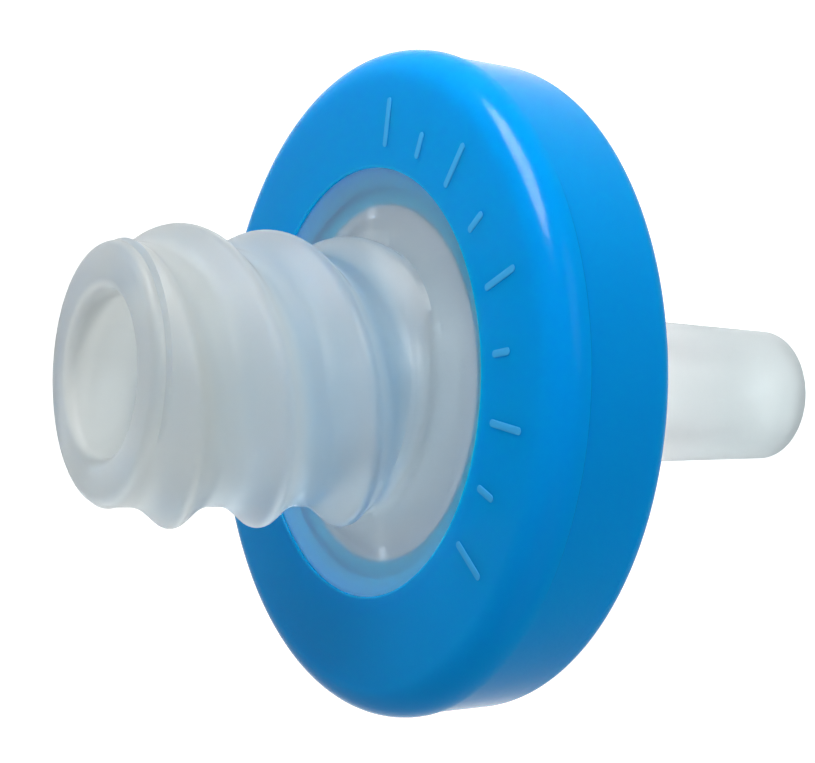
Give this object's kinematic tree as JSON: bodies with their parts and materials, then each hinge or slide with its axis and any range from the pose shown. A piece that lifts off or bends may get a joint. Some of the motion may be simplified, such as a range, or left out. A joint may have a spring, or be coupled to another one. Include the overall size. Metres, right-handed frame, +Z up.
{
  "type": "syringe filter",
  "caption": "Small round syringe filter: blue moulded ring sealing translucent housings, with a threaded luer lock inlet and a tapered luer slip outlet.",
  "frame": {"origin": "centre of the outlet tip's end face, on which the filter stands", "axes": "+Z up the flow axis from the outlet tip to the inlet mouth; +X through the highest full thread crest and within 7 degrees of the two inlet ribs"},
  "size_m": [0.0182, 0.0182, 0.0222],
  "materials": {
    "natural_polypropylene": "moulded natural polypropylene, milky translucent with a soft gloss",
    "blue_polypropylene": "blue moulded polypropylene with a satin gloss",
    "white_membrane": "white cast filter membrane, matt"
  },
  "bodies": {
    "root": {"inlet_housing": "natural_polypropylene", "outlet_housing": "natural_polypropylene", "filter_membrane": "white_membrane", "sealing_ring": "blue_polypropylene"}
  },
  "joints": []
}
